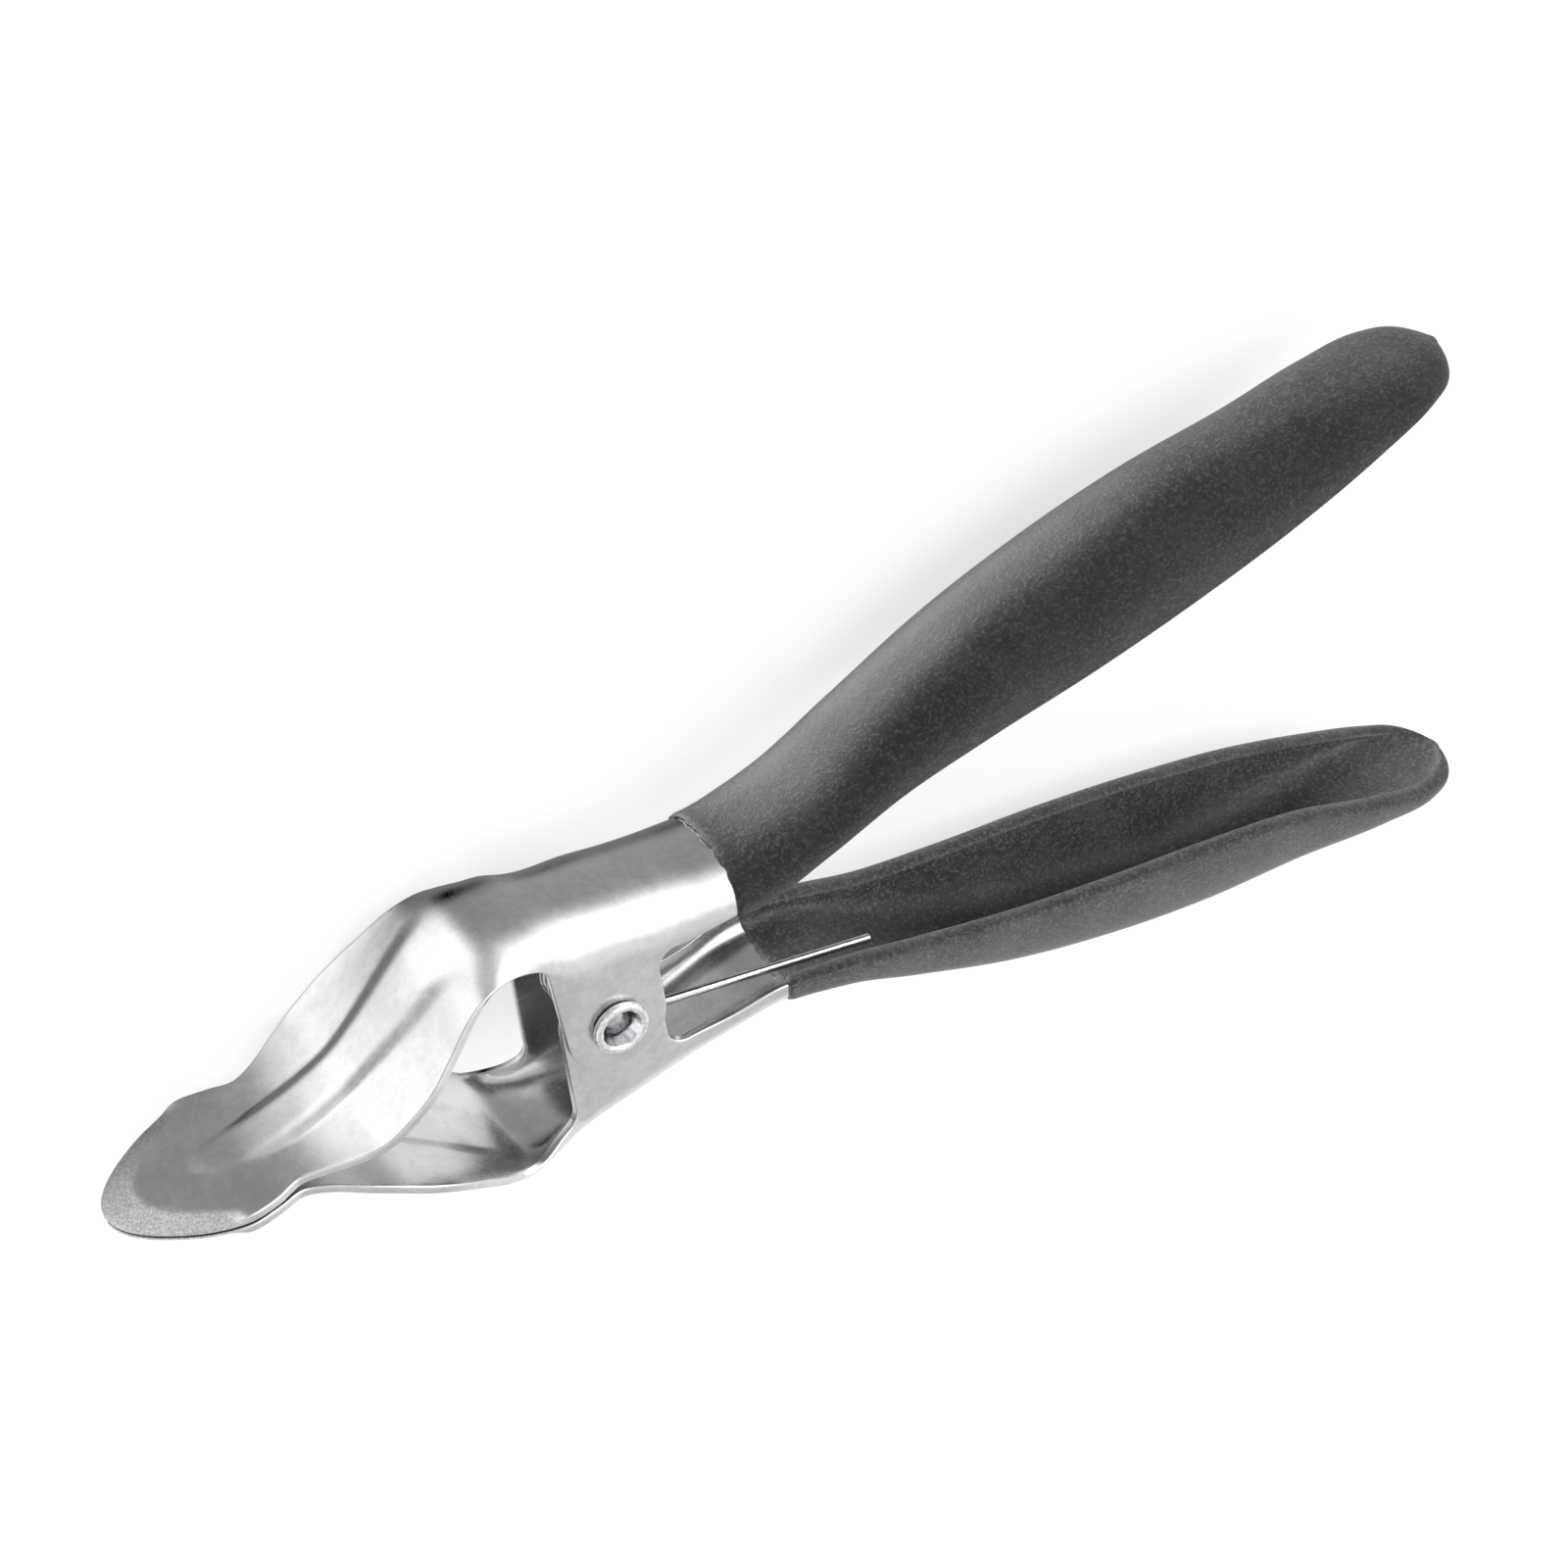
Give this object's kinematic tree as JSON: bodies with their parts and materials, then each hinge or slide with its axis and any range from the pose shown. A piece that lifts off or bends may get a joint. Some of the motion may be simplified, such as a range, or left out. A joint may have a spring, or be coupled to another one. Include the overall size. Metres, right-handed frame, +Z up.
{
  "type": "spreading pliers",
  "caption": "Sprung hand pliers with thin leaf-shaped tips that spread apart when the coated channel handles are squeezed.",
  "frame": {"origin": "on the table under the middle of the bounding box, with the tool lying on its side and closed at the tips", "axes": "+X from the leaf tips to the handle ends, +Y from the lower lever to the upper lever, the way the tips open, +Z up along the pivot axis"},
  "size_m": [0.1756, 0.0661, 0.0257],
  "materials": {
    "stamped_steel": "tumbled and plated, soft satin shine",
    "grip_coating": "dipped vinyl with a fine grain",
    "rivet_steel": "bright rolled steel",
    "spring_wire": "bright drawn wire"
  },
  "bodies": {
    "lower": {"lower_lever": "stamped_steel", "lower_grip": "grip_coating", "pivot_rivet": "rivet_steel", "torsion_spring": "spring_wire"},
    "upper": {"upper_lever": "stamped_steel", "upper_grip": "grip_coating"}
  },
  "joints": [
    {"name": "handle_squeeze", "type": "hinge", "parent": "lower", "child": "upper", "pos_m": [-0.03005, 0, 0.01285], "axis": [0, 0, -1], "range_deg": [0, 26], "stiffness_Nm_per_rad": 0.2, "springref_deg": -17.19, "deforming": ["torsion_spring"]}
  ]
}
